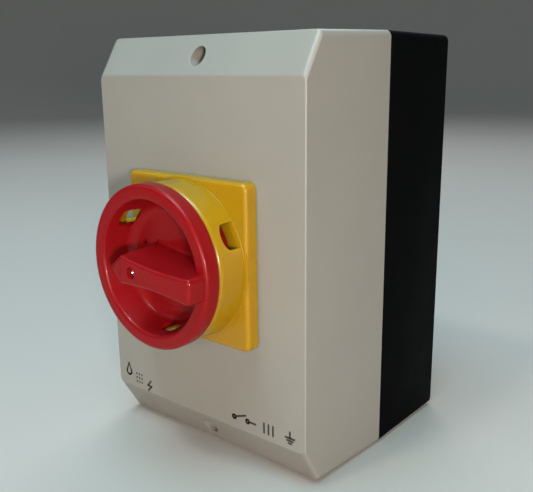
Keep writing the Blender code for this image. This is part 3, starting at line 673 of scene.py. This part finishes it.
def marks(finishes):
    """Generic pictograms: droplet, dust and bolt on the left; contact, poles and earth on the right."""
    tall = MARK_HEIGHT
    x, y = DROP
    drop = arc(tall * 0.32, -205, 25, 16, DROP) + [(x, y + tall * 0.8)]
    shapes = strokes(*drop, drop[0])
    for column in (-1, 0, 1):
        for row in (-1, 0, 1):
            x, y = DUST[0] + column * DUST_PITCH[0], DUST[1] + row * DUST_PITCH[1]
            shapes += strokes((x, y), (x, y + DOT))
    x, y = BOLT
    shapes += strokes((x + 0.0010, y + tall / 2), (x - 0.0012, y), (x + 0.0012, y - 0.0001),
                      (x - 0.0010, y - tall / 2))
    x, y = CONTACT
    shapes += hoop(CONTACT, tall * 0.16)
    shapes += strokes((x + tall * 0.16, y + tall * 0.05), (x + tall * 1.25, y + tall * 0.45))
    shapes += hoop((x + tall * 1.45, y), tall * 0.16)
    shapes += strokes((x + tall * 1.7, y), (x + tall * 2.3, y))
    for pole in POLES:
        shapes += strokes((pole, y - tall * 0.4), (pole, y + tall * 0.4))
    shapes += strokes((EARTH, y + tall * 0.5), (EARTH, y))
    for level, half in enumerate(EARTH_BARS):
        down = y - level * EARTH_PITCH
        shapes += strokes((EARTH - half, down), (EARTH + half, down))
    add_piece("printed_marks", merged(shapes), "cover", finishes["ink"])


# ---------------------------------------------------------------- carried-over solids

def smoothing():
    """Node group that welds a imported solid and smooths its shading, leaving sharp edges sharp."""
    group = bpy.data.node_groups.new("weld_and_smooth", "GeometryNodeTree")
    group.interface.new_socket("Geometry", in_out="INPUT", socket_type="NodeSocketGeometry")
    group.interface.new_socket("Geometry", in_out="OUTPUT", socket_type="NodeSocketGeometry")
    nodes, links = group.nodes, group.links
    start = nodes.new("NodeGroupInput")
    forget = nodes.new("GeometryNodeRemoveAttribute")
    forget.inputs["Name"].default_value = "custom_normal"
    weld = nodes.new("GeometryNodeMergeByDistance")
    weld.inputs["Distance"].default_value = 0.000005
    faces = nodes.new("GeometryNodeSetShadeSmooth")
    faces.domain = "FACE"
    edges = nodes.new("GeometryNodeSetShadeSmooth")
    edges.domain = "EDGE"
    angle = nodes.new("GeometryNodeInputMeshEdgeAngle")
    small = nodes.new("FunctionNodeCompare")
    small.data_type = "FLOAT"
    small.operation = "LESS_THAN"
    small.inputs["B"].default_value = SMOOTH_BELOW
    end = nodes.new("NodeGroupOutput")
    links.new(start.outputs[0], forget.inputs["Geometry"])
    links.new(forget.outputs["Geometry"], weld.inputs["Geometry"])
    links.new(weld.outputs["Geometry"], faces.inputs["Geometry"])
    links.new(faces.outputs["Geometry"], edges.inputs["Geometry"])
    links.new(angle.outputs["Unsigned Angle"], small.inputs["A"])
    links.new(small.outputs["Result"], edges.inputs["Shade Smooth"])
    links.new(edges.outputs["Geometry"], end.inputs[0])
    return group


def dress_nodes(finishes):
    """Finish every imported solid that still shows, by the material slot its record gives."""
    group = smoothing()
    for entry in frame["record"]["subparts"]:
        node = frame["nodes"].get(entry["node"])
        if node is None:
            continue
        node.data.materials.clear()
        node.data.materials.append(finishes[entry["material_slot"]])
        easing = node.modifiers.new("weld_and_smooth", "NODES")
        easing.node_group = group
        edge = node.modifiers.new("edge", "BEVEL")
        edge.width = 0.0002
        edge.segments = 2
        edge.limit_method = "ANGLE"
        edge.angle_limit = math.radians(40)


# ---------------------------------------------------------------- stage, lights and camera

# Each light aims at the middle of the switch: name, azimuth and elevation in degrees, distance,
# diameter, power in watts, colour
LIGHTS = (
    ("side_key", 54, 6, 0.6, 0.07, 3.5, (1.0, 0.97, 0.88)),
    ("near_front", 30, 12, 0.55, 0.16, 0.80, (1.0, 0.96, 0.86)),
    ("window_left", -60, 42, 1.6, 0.9, 2.0, (0.25, 0.75, 1.0)),
    ("warm_front", 18, 14, 1.6, 0.8, 5.0, (1.0, 0.68, 0.46)),
    ("overhead", 10, 76, 1.4, 1.0, 24.0, (0.42, 0.82, 1.0)),
    ("ceiling_lamp", -8, 64, 1.0, 0.12, 2.4, (1.0, 0.97, 0.9)),
    ("backdrop_light", -150, 50, 1.6, 1.0, 12.0, (1.0, 1.0, 1.0)),
)
MIDDLE = Vector((0, -0.10, 0))


def stage():
    """A pale floor that curves up into a wall all the way round."""
    floor_z = cad_box[0][2]
    reach, bend, top = 2.2, 1.2, 3.2
    bowl = [(0, floor_z)] + [(x, floor_z + z) for x, z in arc(bend, -90, 0, 15, (reach, bend))]
    sweep = bpy.data.objects.new("backdrop", turned(bowl + [(reach + bend, floor_z + top)], 96))
    sweep.data.shade_smooth()
    made = Finish("pale_paper", (0.36, 0.32, 0.29), 0.9, specular=0.0)
    made.tint(made.noise(0.3, 2.0), 0.01)
    made.shader.inputs["Emission Color"].default_value = (1, 1, 1, 1)
    made.shader.inputs["Emission Strength"].default_value = 0.04
    sweep.data.materials.append(made.material)
    bpy.context.scene.collection.objects.link(sweep)


def area_light(name, place, size, power, colour):
    lamp = bpy.data.lights.new(name, "AREA")
    lamp.shape = "DISK"
    lamp.size = size
    lamp.energy = power
    lamp.color = colour
    holder = bpy.data.objects.new(name, lamp)
    holder.location = place
    holder.rotation_euler = (MIDDLE - place).to_track_quat("-Z", "Y").to_euler()
    bpy.context.scene.collection.objects.link(holder)


def lights():
    for name, azimuth, elevation, distance, size, power, colour in LIGHTS:
        across, rise = polar(1, azimuth), polar(1, elevation)
        way = Vector((across[1] * rise[0], -across[0] * rise[0], rise[1]))
        area_light(name, MIDDLE + way * distance, size, power, colour)
    world = bpy.data.worlds.new("room")
    world.use_nodes = True
    background = world.node_tree.nodes["Background"]
    background.inputs["Color"].default_value = (0.9, 0.95, 1.0, 1)
    background.inputs["Strength"].default_value = 0.03
    bpy.context.scene.world = world


def camera():
    azimuth, elevation, roll = math.radians(40.539), math.radians(14.916), math.radians(-0.639)
    eye = Vector((0.2059, -0.2955, 0.0731))
    look = Vector((-math.sin(azimuth) * math.cos(elevation), math.cos(azimuth) * math.cos(elevation),
                   -math.sin(elevation)))
    across = Vector((math.cos(azimuth), math.sin(azimuth), 0))
    upward = across.cross(look)
    right = across * math.cos(roll) + upward * math.sin(roll)
    above = upward * math.cos(roll) - across * math.sin(roll)
    data = bpy.data.cameras.new("camera")
    data.lens = 49.20
    data.sensor_width = 36.0
    data.shift_x = -0.00394
    data.shift_y = 0.02621
    data.clip_start = 0.01
    holder = bpy.data.objects.new("camera", data)
    basis = Matrix((right, above, -look)).transposed().to_4x4()
    basis.translation = eye
    holder.matrix_world = basis
    bpy.context.scene.collection.objects.link(holder)
    bpy.context.scene.camera = holder
    bpy.context.scene.view_settings.view_transform = "Standard"


finishes = make_finishes()
dress_nodes(finishes)
cover(finishes)
handle_plate(finishes)
knob(finishes)
handle_screw(finishes)
marks(finishes)
stage()
lights()
camera()
